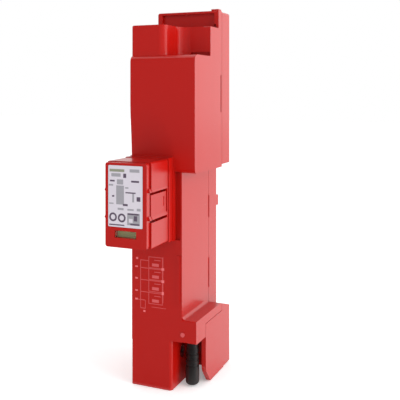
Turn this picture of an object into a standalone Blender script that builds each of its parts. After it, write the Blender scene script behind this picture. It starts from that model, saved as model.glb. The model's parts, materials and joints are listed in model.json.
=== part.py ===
"""A busbar surge arrester: a tall two-shell housing with a plug-in protection module on its front.

X runs to the right, Y to the back and Z up. The origin is on the bottom face, halfway across the
width and the depth of the housing. Sizes are in metres.
"""

import math

import bmesh
import bpy
from mathutils import Matrix, Vector

# Housing, widths and depths
BLOCK_WIDTH = 0.036
BLOCK_STEP = 0.0078
FOOT_STEP = 0.0057
SIDE_STRIP = 0.0045
CHANNEL_WIDTH = 0.0173
COLUMN_WIDTH = BLOCK_WIDTH - BLOCK_STEP
FOOT_WIDTH = COLUMN_WIDTH - FOOT_STEP
BOSS_WIDTH = BLOCK_WIDTH - CHANNEL_WIDTH
SEAM_DEPTH = 0.035
REAR_DEPTH = 0.0115
RIM_DEPTH = 0.0048
HEAD_DEPTH = 0.0115
DEPTH = SEAM_DEPTH + REAR_DEPTH
RIM_SETBACK = SEAM_DEPTH - RIM_DEPTH
HEAD_SETBACK = RIM_SETBACK - HEAD_DEPTH
BLOCK_PROUD = 0.0018

# Housing, heights
CHAMBER_HEIGHT = 0.025
SHOULDER_HEIGHT = 0.0362
SHOULDER_FALL = 0.0046
BLOCK_LOW = 0.1095
BLOCK_TALL = 0.059
HEAD_TALL = 0.0155
RIM_TALL = 0.0095
LEDGE_HEIGHT = BLOCK_LOW + BLOCK_TALL
HEAD_HEIGHT = LEDGE_HEIGHT + HEAD_TALL
HEIGHT = HEAD_HEIGHT + RIM_TALL
REAR_LIFT = 0.0012

# Housing, walls, rounds and small features
WALL = 0.002
EDGE = 0.0005
GAP = 0.0003
CORNER = 0.0012
FOOT_ROUND = 0.0016
LEDGE_ROUND = 0.0032
BLOCK_ROUND = 0.0025
BOSS_ROUND = 0.0035
BOSS_HOLLOW = 0.0065
SHOULDER_FILLET = 0.0016
WING_FRONT = 0.0124
WING_HEIGHT = 0.0315
WING_WALL = 0.0024
WING_ROUND = 0.006
TAB_WIDTH = 0.0044
TAB_TALL = 0.0009
RIM_FRAME = 0.0026
RIM_RECESS = 0.0016
NOTCH_WIDTH = 0.0016
NOTCH_TALL = 0.002
FOOT_SLOT_WIDTH = 0.0105
FOOT_SLOT_TALL = 0.0017
FOOT_SLOT_DEEP = 0.001
SNAP_WIDTH = 0.001
SNAP_LONG = 0.020
SNAP_DROP = 0.0295
RIB_WIDTH = 0.0018
RIB_PROUD = 0.0004
STUD_RADIUS = 0.0011
SCOOP_DEEP = 0.0017
SCOOP_REACH = 0.026
SCOOP_TALL = 0.033

# Plug-in module and its collar
MODULE_WIDTH = COLUMN_WIDTH - SIDE_STRIP
MODULE_DROP = 0.0333
MODULE_LOW = BLOCK_LOW - MODULE_DROP
MODULE_TALL = 0.0408
MODULE_REACH = 0.0282
COVER_DEPTH = 0.0030
COVER_INSET = 0.0008
COVER_ROUND = 0.0012
COLLAR_REACH = 0.007
COLLAR_WALL = 0.0021
COLLAR_STEP = 0.0003
COLLAR_BASE = 0.003
CASE_WALL = 0.0012
CASE_ROUND = 0.0012
STEM_DEPTH = 0.006
KEY_LOW = MODULE_LOW + 0.0138
KEY_TALL = 0.01165
KEY_WALL = 0.0016
KEY_SINK = 0.0004
KEY_TRAVEL = 0.0015
KEY_SLIT = 0.0013
RIDGE_TALL = 0.0019
RIDGE_PROUD = 0.0003
WINDOW_LOW = MODULE_LOW + 0.005
WINDOW_TALL = 0.0034
WINDOW_WIDTH = 0.0116
LABEL_LOW = MODULE_LOW + 0.010
LABEL_TALL = MODULE_TALL - 0.0116
LABEL_WIDTH = MODULE_WIDTH - 0.0052
LABEL_SHEET = 0.0003
FLAG_TRAVEL = 0.0034
FLAG_SHEET = 0.0008
FLAG_BORDER = 0.0008

# Current path
BLADE_COUNT = 4
BLADE_MARGIN = 0.0069
BLADE_LOW = MODULE_LOW + BLADE_MARGIN
BLADE_PITCH = (MODULE_TALL - 2 * BLADE_MARGIN) / (BLADE_COUNT - 1)
BLADE_SHEET = 0.001
BLADE_WIDE = 0.005
BLADE_REACH = 0.0075
INSERT_SHEET = 0.0025
INSERT_LAP = 0.003
CLIP_SHEET = 0.0007
CLIP_DEPTH = 0.0075
CLIP_FLARE = 0.0006
STRIP = 0.0012
RISER_WIDTH = 0.003
SIDE_RISER = 0.0026
HOOK_SHEET = 0.0015
HOOK_WIDTH = 0.010
HOOK_LIP = 0.006
BUSBAR_DEPTH = 0.005
BUSBAR_TALL = 0.012
BUSBAR_PITCH = 0.040
BUSBAR_DROP = 0.0235
LOWEST_BUSBAR_TOP = BLOCK_LOW - BUSBAR_DROP
BUSBAR_SLACK = 0.0006
HOOK_PLAY = 0.0004

# Earth terminal and the plug beside it
TERMINAL_WIDTH = FOOT_WIDTH - 0.0105
TERMINAL_DEPTH = 0.013
TERMINAL_TALL = 0.014
TERMINAL_LOW = 0.0085
TERMINAL_SHEET = 0.0018
SCREW_RADIUS = 0.0019
SCREW_HEAD = 0.003
SCREW_HEAD_TALL = 0.0018
SCREW_SLOT = 0.0008
WIRE_RADIUS = 0.4 * TERMINAL_WIDTH
EARTH_WIDTH = 0.004
PLUG_DEPTH = 0.011
PLUG_RADIUS = 0.0035
PLUG_NECK = 0.00285
PLUG_PIN = 0.0012
PLUG_NOSE = 0.0018
SOCKET_RADIUS = 0.0027
SOCKET_TALL = (SHOULDER_HEIGHT - CHAMBER_HEIGHT) * 15 / 28

# Locking slider on the back
SLIDER_WIDTH = 0.012
SLIDER_NECK = 0.008
SLIDER_THICK = 0.0042
SLIDER_LOW = 0.020
SLIDER_SKIN = 0.0022
SLIDER_ROOM_LOW = 0.008
CLAW_REACH = 0.008
CLAW_SHEET = 0.0045
PRY_SLOT = 0.0045
SPRING_RADIUS = 0.0017
SPRING_WIRE = 0.0003
SPRING_TURNS = 6

# Signal board
BOARD_SHEET = 0.0016
BOARD_MARGIN = 0.004
RELAY_WIDTH = 0.0075
RELAY_DEPTH = 0.008

# Spark gap in the upper block
TUBE_SIDE = 0.0198
TUBE_CLEAR = 0.0012
TUBE_RADIUS = (BLOCK_WIDTH - TUBE_SIDE - WALL - TUBE_CLEAR) / 2
CAP_TALL = 0.004
CAP_INSET = 0.0005
TUBE_LOW = BLOCK_LOW + WALL + GAP + CAP_TALL + GAP
TUBE_TALL = 0.68 * BLOCK_TALL

LEFT = -BLOCK_WIDTH / 2
RIGHT = BLOCK_WIDTH / 2
FRONT = -DEPTH / 2
BACK = DEPTH / 2
SEAM = FRONT + SEAM_DEPTH
COLUMN_RIGHT = LEFT + COLUMN_WIDTH
FOOT_RIGHT = LEFT + FOOT_WIDTH
MODULE_LEFT = LEFT + GAP
MODULE_RIGHT = MODULE_LEFT + MODULE_WIDTH
MODULE_MID = (MODULE_LEFT + MODULE_RIGHT) / 2
MODULE_TOP = MODULE_LOW + MODULE_TALL
MODULE_FRONT = FRONT - MODULE_REACH
CASE_FRONT = MODULE_FRONT + COVER_DEPTH + GAP
COLLAR_FRONT = FRONT - COLLAR_REACH
KEY_BACK = COLLAR_FRONT - 0.9 * CASE_WALL
STEM_BACK = FRONT + STEM_DEPTH
INSERT_FRONT = STEM_BACK + GAP
INSERT_BACK = INSERT_FRONT + INSERT_SHEET
CLIP_BACK = INSERT_BACK + GAP + CLIP_DEPTH
STRIP_FRONT = CLIP_BACK + GAP
OVER = 0.001

parts = bpy.data.collections.new("surge_arrester")
tools = bpy.data.collections.new("cutters")


def clear_scene():
    for thing in list(bpy.data.objects):
        bpy.data.objects.remove(thing)
    for collection in (parts, tools):
        bpy.context.scene.collection.children.link(collection)


def material(name, colour, roughness, metallic=0.0):
    made = bpy.data.materials.new(name)
    made.use_nodes = True
    shader = made.node_tree.nodes["Principled BSDF"]
    shader.inputs["Base Color"].default_value = (*colour, 1.0)
    shader.inputs["Roughness"].default_value = roughness
    shader.inputs["Metallic"].default_value = metallic
    return made


RED = material("red_plastic", (0.45, 0.016, 0.014), 0.35)
DARK = material("dark_plastic", (0.03, 0.03, 0.032), 0.5)
WHITE = material("white_label", (0.68, 0.66, 0.70), 0.5)
GREEN = material("green_window", (0.16, 0.24, 0.09), 0.3)
COPPER = material("tinned_copper", (0.60, 0.42, 0.28), 0.3, 1.0)
STEEL = material("zinc_steel", (0.55, 0.56, 0.58), 0.35, 1.0)
CERAMIC = material("ceramic", (0.75, 0.73, 0.68), 0.45)
BOARD = material("circuit_board", (0.03, 0.16, 0.06), 0.45)
DISC = material("varistor_coating", (0.05, 0.10, 0.30), 0.4)


def new_object(name, mesh, look=None):
    """A part when it has a look, or else a cutter."""
    thing = bpy.data.objects.new(name, mesh)
    if look:
        mesh.materials.append(look)
        parts.objects.link(thing)
    else:
        tools.objects.link(thing)
        thing.hide_render = True
        thing.display_type = "WIRE"
    return thing


def finish_mesh(shape, mesh):
    """Writes a shape with its points on a fine common grid, so that equal planes stay equal."""
    for vert in shape.verts:
        vert.co = [round(value, 7) for value in vert.co]
    shape.to_mesh(mesh)
    shape.free()


def box(name, x, y, z, look=None):
    """A box between two values on each axis."""
    mesh = bpy.data.meshes.new(name)
    shape = bmesh.new()
    bmesh.ops.create_cube(shape, size=1.0)
    size = [high - low for low, high in (x, y, z)]
    middle = [(high + low) / 2 for low, high in (x, y, z)]
    bmesh.ops.scale(shape, vec=size, verts=shape.verts)
    bmesh.ops.translate(shape, vec=middle, verts=shape.verts)
    finish_mesh(shape, mesh)
    return new_object(name, mesh, look)


def rod(name, centre, radius, length, axis, look=None, sides=40):
    """A cylinder that starts at its centre point and runs along an axis."""
    mesh = bpy.data.meshes.new(name)
    shape = bmesh.new()
    bmesh.ops.create_cone(
        shape, cap_ends=True, segments=sides, radius1=radius, radius2=radius, depth=length
    )
    bmesh.ops.translate(shape, vec=(0, 0, length / 2), verts=shape.verts)
    turn = Vector((0, 0, 1)).rotation_difference(Vector(axis)).to_matrix().to_4x4()
    bmesh.ops.transform(shape, matrix=Matrix.Translation(centre) @ turn, verts=shape.verts)
    finish_mesh(shape, mesh)
    mesh.shade_smooth()
    mesh.set_sharp_from_angle(angle=math.radians(35))
    return new_object(name, mesh, look)


def rounded(corners, steps=5):
    """An outline whose corners (u, v, radius) become arcs."""
    points = []
    for i, (u, v, radius) in enumerate(corners):
        here = Vector((u, v))
        before = Vector(corners[i - 1][:2]) - here
        after = Vector(corners[(i + 1) % len(corners)][:2]) - here
        if not radius:
            points.append(here)
            continue
        half = before.angle(after) / 2
        reach = min(radius / math.tan(half), 0.49 * before.length, 0.49 * after.length)
        radius = reach * math.tan(half)
        middle = here + (before.normalized() + after.normalized()).normalized() * (
            radius / math.sin(half)
        )
        start = here + before.normalized() * reach - middle
        end = here + after.normalized() * reach - middle
        swing = start.angle_signed(end)
        for k in range(steps + 1):
            points.append(middle + Matrix.Rotation(-swing * k / steps, 2) @ start)
    return points


PLANES = {
    "X": Matrix(((0, 0, 1), (1, 0, 0), (0, 1, 0))),
    "Y": Matrix(((1, 0, 0), (0, 0, -1), (0, 1, 0))),
    "Z": Matrix.Identity(3),
}


def plate(name, corners, plane, low, high, look=None):
    """A flat outline pushed along the axis that its plane faces: (y, z) for X, (x, z) for Y."""
    curve = bpy.data.curves.new(name, "CURVE")
    curve.dimensions = "2D"
    curve.fill_mode = "BOTH"
    curve.extrude = (high - low) / 2
    spline = curve.splines.new("POLY")
    points = rounded(corners)
    spline.points.add(len(points) - 1)
    for point, (u, v) in zip(spline.points, points):
        point.co = (u, v, 0, 1)
    spline.use_cyclic_u = True
    drawn = bpy.data.objects.new(name, curve)
    tools.objects.link(drawn)
    axis = PLANES[plane] @ Vector((0, 0, 1))
    middle = axis * sum(axis) * (low + high) / 2
    drawn.matrix_world = Matrix.Translation(middle) @ PLANES[plane].to_4x4()
    return meshed(name, drawn, look)


def meshed(name, drawn, look=None):
    """A curve made a closed mesh with its caps welded."""
    bpy.context.view_layer.update()
    graph = bpy.context.evaluated_depsgraph_get()
    mesh = bpy.data.meshes.new_from_object(drawn.evaluated_get(graph))
    mesh.name = name
    mesh.transform(drawn.matrix_world)
    shape = bmesh.new()
    shape.from_mesh(mesh)
    bmesh.ops.remove_doubles(shape, verts=shape.verts, dist=1e-6)
    bmesh.ops.recalc_face_normals(shape, faces=shape.faces)
    finish_mesh(shape, mesh)
    mesh.materials.clear()
    bpy.data.objects.remove(drawn)
    return new_object(name, mesh, look)


def turned(name, profile, centre, look=None, steps=40):
    """A profile of (radius, height), top to bottom on its outer side, turned about Z."""
    mesh = bpy.data.meshes.new(name)
    edges = [(i, i + 1) for i in range(len(profile) - 1)]
    mesh.from_pydata([(radius, 0, height) for radius, height in profile], edges, [])
    thing = new_object(name, mesh, look)
    thing.location = centre
    screw = thing.modifiers.new("turn", "SCREW")
    screw.steps = steps
    screw.render_steps = steps
    screw.use_merge_vertices = True
    screw.merge_threshold = 1e-6
    screw.use_smooth_shade = True
    return thing


def boolean(thing, others, operation):
    for other in others:
        if other.name in parts.objects:
            parts.objects.unlink(other)
            tools.objects.link(other)
            other.hide_render = True
            other.display_type = "WIRE"
        step = thing.modifiers.new(operation.lower() + "_" + other.name, "BOOLEAN")
        step.operation = operation
        step.object = other
        step.solver = "EXACT"


def cut(thing, *others):
    boolean(thing, others, "DIFFERENCE")


def join(thing, *others):
    boolean(thing, others, "UNION")


def soften(thing, width=EDGE, segments=2, angle=40):
    """Rounds the sharp edges."""
    bevel = thing.modifiers.new("edges", "BEVEL")
    bevel.width = width
    bevel.segments = segments
    bevel.limit_method = "ANGLE"
    bevel.angle_limit = math.radians(angle)
    bevel.use_clamp_overlap = True
    return bevel


def around(middle, size):
    return (middle - size / 2, middle + size / 2)


def block_outline():
    """The side view of the upper block, ledge, head and rim, as (y, z) from the lower front."""
    front = FRONT - BLOCK_PROUD
    return [
        (front, BLOCK_LOW, BLOCK_ROUND),
        (front, LEDGE_HEIGHT, LEDGE_ROUND),
        (FRONT + HEAD_SETBACK, LEDGE_HEIGHT, EDGE),
        (FRONT + HEAD_SETBACK, HEAD_HEIGHT, EDGE),
        (FRONT + RIM_SETBACK, HEAD_HEIGHT, EDGE / 2),
        (FRONT + RIM_SETBACK, HEIGHT, EDGE),
        (SEAM, HEIGHT, 0),
        (SEAM, BLOCK_LOW, 0),
    ]


def boss_outline():
    """The plan of the boss beside the channel, with its convex and its concave corner."""
    return [
        (LEFT, FRONT, EDGE),
        (LEFT + BOSS_WIDTH, FRONT, BOSS_ROUND),
        (LEFT + BOSS_WIDTH, FRONT + HEAD_SETBACK, BOSS_HOLLOW),
        (RIGHT - 2 * WALL, FRONT + HEAD_SETBACK, 0),
        (RIGHT - 2 * WALL, FRONT + HEAD_SETBACK + WALL, 0),
        (LEFT, FRONT + HEAD_SETBACK + WALL, 0),
    ]


def shoulder_outline(front, back):
    """The side view of the lower shoulder, whose top falls away towards the back."""
    fall_start = fall_place()
    fall = SHOULDER_FALL / (BACK - fall_start)
    outline = [(back, SHOULDER_HEIGHT - fall * (back - fall_start), 0), (back, CHAMBER_HEIGHT, 0)]
    if front > fall_start:
        top = SHOULDER_HEIGHT - fall * (front - fall_start)
        return [(front, CHAMBER_HEIGHT, 0), (front, top, 0)] + outline
    return [
        (front, CHAMBER_HEIGHT, EDGE),
        (front, SHOULDER_HEIGHT, EDGE),
        (fall_start, SHOULDER_HEIGHT, 2 * EDGE),
    ] + outline


def fall_place():
    return SEAM - WALL


def arc(middle, radius, start, end, steps=6):
    """Points on an arc from one angle to another, in degrees."""
    points = []
    for k in range(steps + 1):
        angle = math.radians(start + (end - start) * k / steps)
        points.append((middle[0] + radius * math.cos(angle), middle[1] + radius * math.sin(angle), 0))
    return points


def corner_cutter(name, x, z, radius, y):
    """What a round takes off an upper left corner."""
    corners = [(x - OVER, z - radius, 0)]
    corners += arc((x + radius, z - radius), radius, 180, 90)
    corners += [(x + radius, z + OVER, 0), (x - OVER, z + OVER, 0)]
    return plate(name, corners, "Y", *y)


def collar_plate(name, wider, y):
    right = MODULE_RIGHT + GAP + wider
    low = MODULE_LOW - GAP - wider
    high = MODULE_TOP + GAP + wider
    left = LEFT + GAP / 2 + wider
    corners = [(left, low, EDGE), (right, low, EDGE), (right, high, EDGE), (left, high, EDGE)]
    return plate(name, corners, "Y", *y)


def build_front_housing():
    column = [
        (LEFT, CHAMBER_HEIGHT - WALL, 0),
        (FOOT_RIGHT - 2 * WALL, CHAMBER_HEIGHT - WALL, 0),
        (FOOT_RIGHT - 2 * WALL, CHAMBER_HEIGHT, 0),
        (COLUMN_RIGHT, CHAMBER_HEIGHT, 0),
        (COLUMN_RIGHT, LEDGE_HEIGHT - WALL, 0),
        (LEFT, LEDGE_HEIGHT - WALL, 0),
    ]
    housing = plate("front_housing", column, "Y", FRONT, SEAM, RED)
    foot_plan = [
        (LEFT, FRONT, EDGE),
        (FOOT_RIGHT, FRONT, FOOT_ROUND),
        (FOOT_RIGHT, SEAM, 0),
        (LEFT, SEAM, 0),
    ]
    foot = plate("foot", foot_plan, "Z", 0.0, CHAMBER_HEIGHT + WALL / 2)
    block = plate("block", block_outline(), "X", LEFT, RIGHT)
    boss = plate("boss", boss_outline(), "Z", LEDGE_HEIGHT - WALL, HEAD_HEIGHT)
    shoulder = plate("shoulder", shoulder_outline(FRONT, SEAM), "X", COLUMN_RIGHT - WALL, RIGHT)
    fillet_corners = arc(
        (COLUMN_RIGHT + SHOULDER_FILLET, SHOULDER_HEIGHT + SHOULDER_FILLET), SHOULDER_FILLET, 180, 270
    )
    fillet_corners += [
        (COLUMN_RIGHT + SHOULDER_FILLET, SHOULDER_HEIGHT - EDGE, 0),
        (COLUMN_RIGHT - EDGE, SHOULDER_HEIGHT - EDGE, 0),
        (COLUMN_RIGHT - EDGE, SHOULDER_HEIGHT + SHOULDER_FILLET, 0),
    ]
    fillet = plate("shoulder_fillet", fillet_corners, "Y", FRONT + EDGE, fall_place() - 2 * EDGE)
    rim_tab = box(
        "rim_tab",
        (RIGHT - TAB_WIDTH, RIGHT - EDGE / 2),
        (FRONT + RIM_SETBACK + EDGE, SEAM - EDGE / 2),
        (HEIGHT - EDGE, HEIGHT + TAB_TALL),
    )
    join(housing, foot, block, boss, shoulder, fillet, rim_tab)
    cut(housing, finger_scoop())
    collar = collar_plate("collar", 0, (COLLAR_FRONT, FRONT + WALL / 2))
    base = collar_plate("collar_base", COLLAR_STEP, (FRONT - COLLAR_BASE, FRONT + 0.4 * WALL))
    rib = box(
        "front_rib",
        (COLUMN_RIGHT - 1.5 * RIB_WIDTH, COLUMN_RIGHT - RIB_WIDTH / 2),
        (FRONT - RIB_PROUD, FRONT + WALL / 2),
        (SHOULDER_HEIGHT + 4 * WALL, MODULE_LOW - 4 * WALL),
    )
    stud = rod(
        "lamp_stud",
        (COLUMN_RIGHT + EDGE, FRONT - EDGE, CHAMBER_HEIGHT + 2 * WALL),
        STUD_RADIUS,
        WALL,
        (0, 1, 0),
    )
    join(housing, collar, base, rib, stud)

    # The rooms inside, one behind each stretch of the outer form
    inner_left = LEFT + WALL
    inside = SEAM + OVER
    cut(
        housing,
        box(
            "foot_room",
            (inner_left, FOOT_RIGHT - WALL),
            (FRONT + WALL, inside),
            (WALL, CHAMBER_HEIGHT + 2 * WALL),
        ),
        box(
            "column_room",
            (inner_left, COLUMN_RIGHT - WALL),
            (FRONT + WALL, inside),
            (CHAMBER_HEIGHT + WALL, BLOCK_LOW + 2 * WALL),
        ),
        box(
            "block_room",
            (inner_left, RIGHT - WALL),
            (FRONT + WALL, inside),
            (BLOCK_LOW + WALL, LEDGE_HEIGHT - WALL),
        ),
        box(
            "boss_room",
            (inner_left, LEFT + BOSS_WIDTH - 2 * WALL),
            (FRONT + WALL, inside),
            (LEDGE_HEIGHT - 2 * WALL, HEAD_HEIGHT - WALL),
        ),
        box(
            "head_room",
            (inner_left, RIGHT - WALL),
            (FRONT + HEAD_SETBACK + WALL, inside),
            (LEDGE_HEIGHT - 2 * WALL, HEAD_HEIGHT - WALL),
        ),
        box(
            "rim_room",
            (inner_left, RIGHT - WALL),
            (FRONT + RIM_SETBACK + 2 * RIM_RECESS, inside),
            (HEAD_HEIGHT - 2 * WALL, HEIGHT - WALL),
        ),
        box(
            "shoulder_room",
            (COLUMN_RIGHT - 2 * WALL, RIGHT - 2 * WALL),
            (FRONT + WALL, inside),
            (CHAMBER_HEIGHT + WALL, SHOULDER_HEIGHT - WALL),
        ),
    )

    # Openings and recesses seen from outside
    rim_front = FRONT + RIM_SETBACK
    rim_recess = box(
        "rim_recess",
        (LEFT + RIM_FRAME, RIGHT - RIM_FRAME),
        (rim_front - OVER, rim_front + RIM_RECESS),
        (HEAD_HEIGHT - EDGE / 5, HEIGHT - RIM_FRAME / 2),
    )
    rim_notch = box(
        "rim_notch",
        (RIGHT - RIM_FRAME - EDGE, RIGHT - RIM_FRAME - EDGE + NOTCH_WIDTH),
        (rim_front - OVER, rim_front + 1.5 * RIM_RECESS),
        (HEAD_HEIGHT + EDGE, HEAD_HEIGHT + EDGE + NOTCH_TALL),
    )
    wall_front = FRONT + HEAD_SETBACK
    foot_slot = box(
        "foot_slot",
        (RIGHT - EDGE - FOOT_SLOT_WIDTH, RIGHT - EDGE),
        (wall_front - OVER, wall_front + FOOT_SLOT_DEEP),
        (LEDGE_HEIGHT + EDGE, LEDGE_HEIGHT + EDGE + FOOT_SLOT_TALL),
    )
    socket = box(
        "socket",
        (LEFT + COLLAR_WALL, MODULE_RIGHT + GAP - COLLAR_WALL),
        (COLLAR_FRONT - OVER, FRONT + 2 * WALL),
        (MODULE_LOW - GAP + COLLAR_WALL, MODULE_TOP + GAP - COLLAR_WALL),
    )
    groove = box(
        "side_groove",
        (MODULE_RIGHT + GAP + COLLAR_STEP, COLUMN_RIGHT - RIB_WIDTH / 2),
        (FRONT - OVER, FRONT + 0.6 * WALL),
        (MODULE_LOW - GAP, BLOCK_LOW + 4 * WALL),
    )
    wing_room = box(
        "wing_room",
        (RIGHT - WING_WALL - GAP, RIGHT + OVER),
        (FRONT + WING_FRONT - GAP, SEAM + OVER),
        (-OVER, WING_HEIGHT + GAP),
    )
    snap_low = LEDGE_HEIGHT - SNAP_DROP
    snap_slot = box(
        "snap_slot",
        (RIGHT - 2 * WALL, RIGHT + OVER),
        (SEAM - 1.8 * SNAP_WIDTH, SEAM - 0.8 * SNAP_WIDTH),
        (snap_low, snap_low + SNAP_LONG),
    )
    screw_hole = rod(
        "screw_hole",
        (FOOT_RIGHT - 2 * WALL, wire_place()[1], TERMINAL_LOW + TERMINAL_TALL / 2),
        SCREW_HEAD + GAP,
        3 * WALL,
        (1, 0, 0),
    )
    plug_hole = rod(
        "plug_hole", (*plug_place(), CHAMBER_HEIGHT - OVER), SOCKET_RADIUS + GAP, 2 * WALL, (0, 0, 1)
    )
    wire_hole = rod("wire_hole", (*wire_place(), -OVER), WIRE_RADIUS, 2 * WALL, (0, 0, 1))
    cut(housing, rim_recess, rim_notch, foot_slot, socket, groove, wing_room)
    cut(housing, snap_slot, screw_hole, plug_hole, wire_hole)
    cut(
        housing,
        corner_cutter("boss_corner", LEFT, HEAD_HEIGHT, CORNER, (FRONT - OVER, rim_front - EDGE)),
        corner_cutter("rim_corner", LEFT, HEIGHT, CORNER, (rim_front - OVER, SEAM + OVER)),
    )

    # Cradle for the spark gap
    for level in (TUBE_LOW + 0.15 * TUBE_TALL, TUBE_LOW + 0.8 * TUBE_TALL):
        cradle = box(
            "cradle",
            (LEFT + TUBE_SIDE - CAP_TALL / 3, RIGHT - WALL / 2),
            (FRONT + WALL / 2, tube_place()[1]),
            (level, level + WALL),
        )
        join(housing, cradle)
    tube_room = rod(
        "tube_room",
        (*tube_place(), BLOCK_LOW + WALL),
        TUBE_RADIUS + GAP,
        BLOCK_TALL - 3 * WALL,
        (0, 0, 1),
    )
    cut(housing, tube_room)
    return housing


def finger_scoop():
    """A shallow hollow above the module, for the fingers, that fades out upwards and to the right."""
    mesh = bpy.data.meshes.new("finger_scoop")
    shape = bmesh.new()
    bmesh.ops.create_grid(shape, x_segments=18, y_segments=18, size=1.0)
    lift = 0.04 * SCOOP_DEEP
    for vert in shape.verts:
        across, up = vert.co.x, vert.co.y
        away = min(1.0, math.hypot(across, up))
        deep = SCOOP_DEEP * (1 + math.cos(math.pi * away)) / 2 - lift
        vert.co = (
            LEFT + SCOOP_REACH * (across + 0.1),
            FRONT - BLOCK_PROUD + deep,
            MODULE_TOP - WALL + SCOOP_TALL * up,
        )
    grown = bmesh.ops.extrude_face_region(shape, geom=shape.faces[:], use_keep_orig=True)
    moved = [piece for piece in grown["geom"] if isinstance(piece, bmesh.types.BMVert)]
    bmesh.ops.translate(shape, vec=(0, -2 * WALL, 0), verts=moved)
    bmesh.ops.recalc_face_normals(shape, faces=shape.faces)
    finish_mesh(shape, mesh)
    return new_object("finger_scoop", mesh)


def plug_place():
    return (FOOT_RIGHT + 0.49 * (RIGHT - FOOT_RIGHT), FRONT + PLUG_DEPTH)


def cage_back():
    return STRIP_FRONT + STRIP + GAP + TERMINAL_SHEET


def wire_place():
    return (FOOT_RIGHT - WALL - GAP - TERMINAL_WIDTH / 2, cage_back() - TERMINAL_DEPTH / 2)


def tube_place():
    return (RIGHT - WALL - TUBE_CLEAR - TUBE_RADIUS, FRONT + 0.457 * SEAM_DEPTH)


def busbar_tops():
    return [LOWEST_BUSBAR_TOP + i * BUSBAR_PITCH for i in range(3)]


def slider_middle():
    return LEFT + COLUMN_WIDTH / 2


def build_rear_housing():
    front = SEAM + GAP
    outline = [
        (LEFT, 0.0, CORNER),
        (RIGHT, 0.0, CORNER),
        (RIGHT, CHAMBER_HEIGHT, 0),
        (COLUMN_RIGHT, CHAMBER_HEIGHT, 0),
        (COLUMN_RIGHT, BLOCK_LOW + REAR_LIFT, 0),
        (RIGHT, BLOCK_LOW + REAR_LIFT, EDGE),
        (RIGHT, HEIGHT, CORNER),
        (LEFT, HEIGHT, CORNER),
    ]
    housing = plate("rear_housing", outline, "Y", front, BACK, RED)
    shoulder = plate("rear_shoulder", shoulder_outline(front, BACK), "X", COLUMN_RIGHT - WALL, RIGHT)
    wing_front = FRONT + WING_FRONT
    wing = plate(
        "wing",
        [
            (wing_front, WING_HEIGHT, EDGE),
            (wing_front, 1.3 * WING_ROUND, WING_ROUND),
            (wing_front + WING_ROUND, GAP, EDGE),
            (front + WALL, GAP, 0),
            (front + WALL, WING_HEIGHT, 0),
        ],
        "X",
        RIGHT - WING_WALL,
        RIGHT,
    )
    nub = box(
        "locating_nub",
        (COLUMN_RIGHT - 1.6 * WALL, COLUMN_RIGHT),
        (BACK - WALL / 2, BACK + 1.5 * WALL),
        (LOWEST_BUSBAR_TOP + GAP, LOWEST_BUSBAR_TOP + 3 * WALL),
    )
    join(housing, shoulder, wing, nub)
    lower_rib = (SHOULDER_HEIGHT + 3.6 * WALL, SHOULDER_HEIGHT + 11.6 * WALL)
    upper_rib = (BLOCK_LOW - 14 * WALL, BLOCK_LOW - 8 * WALL)
    for low, high in (lower_rib, upper_rib):
        snap = box(
            "snap_rib",
            (COLUMN_RIGHT - WALL / 2, COLUMN_RIGHT + GAP),
            (front, front + 0.6 * WALL),
            (low, high),
        )
        join(housing, snap)

    open_front = front - OVER
    rear_floor = BACK - WALL
    inner_left = LEFT + WALL
    cut(
        housing,
        box(
            "rear_foot_room",
            (inner_left, FOOT_RIGHT - WALL),
            (open_front, rear_floor),
            (WALL, CHAMBER_HEIGHT + 2 * WALL),
        ),
        box(
            "rear_chamber_room",
            (FOOT_RIGHT - 2 * WALL, RIGHT - WALL),
            (front + WALL, rear_floor),
            (WALL, CHAMBER_HEIGHT + 2 * WALL),
        ),
        box(
            "rear_column_room",
            (inner_left, COLUMN_RIGHT - WALL),
            (open_front, rear_floor),
            (CHAMBER_HEIGHT + WALL, HEIGHT - WALL),
        ),
        box(
            "rear_block_room",
            (inner_left, RIGHT - WALL),
            (open_front, rear_floor),
            (BLOCK_LOW + REAR_LIFT + WALL, HEIGHT - WALL),
        ),
    )
    guide = box(
        "slider_guide",
        around(slider_middle(), SLIDER_WIDTH + 2 * GAP + 2 * WALL),
        (BACK - SLIDER_SKIN - SLIDER_THICK - WALL, BACK - WALL / 2),
        (SLIDER_ROOM_LOW - WALL, busbar_low() + WALL),
    )
    join(housing, guide)
    wide = around(slider_middle(), SLIDER_WIDTH + 2 * GAP)
    narrow = around(slider_middle(), SLIDER_NECK + 2 * GAP)
    slider_front = BACK - SLIDER_SKIN - SLIDER_THICK
    room = (SLIDER_ROOM_LOW, busbar_low())
    cut(
        housing,
        box("slider_room", wide, (slider_front - GAP, BACK - SLIDER_SKIN + GAP), room),
        box("slider_slot", narrow, (slider_front, BACK + OVER), room),
    )
    for top in busbar_tops():
        hook_slot = box(
            "hook_slot",
            around(hook_middle(), HOOK_WIDTH + 2 * GAP),
            (BACK - 2 * WALL, BACK + OVER),
            (top + BUSBAR_SLACK - GAP, top + BUSBAR_SLACK + HOOK_SHEET + GAP),
        )
        cut(housing, hook_slot)
    return housing


def hook_middle():
    return MODULE_MID - GAP / 2


def busbar_low():
    return LOWEST_BUSBAR_TOP - BUSBAR_TALL


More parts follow.
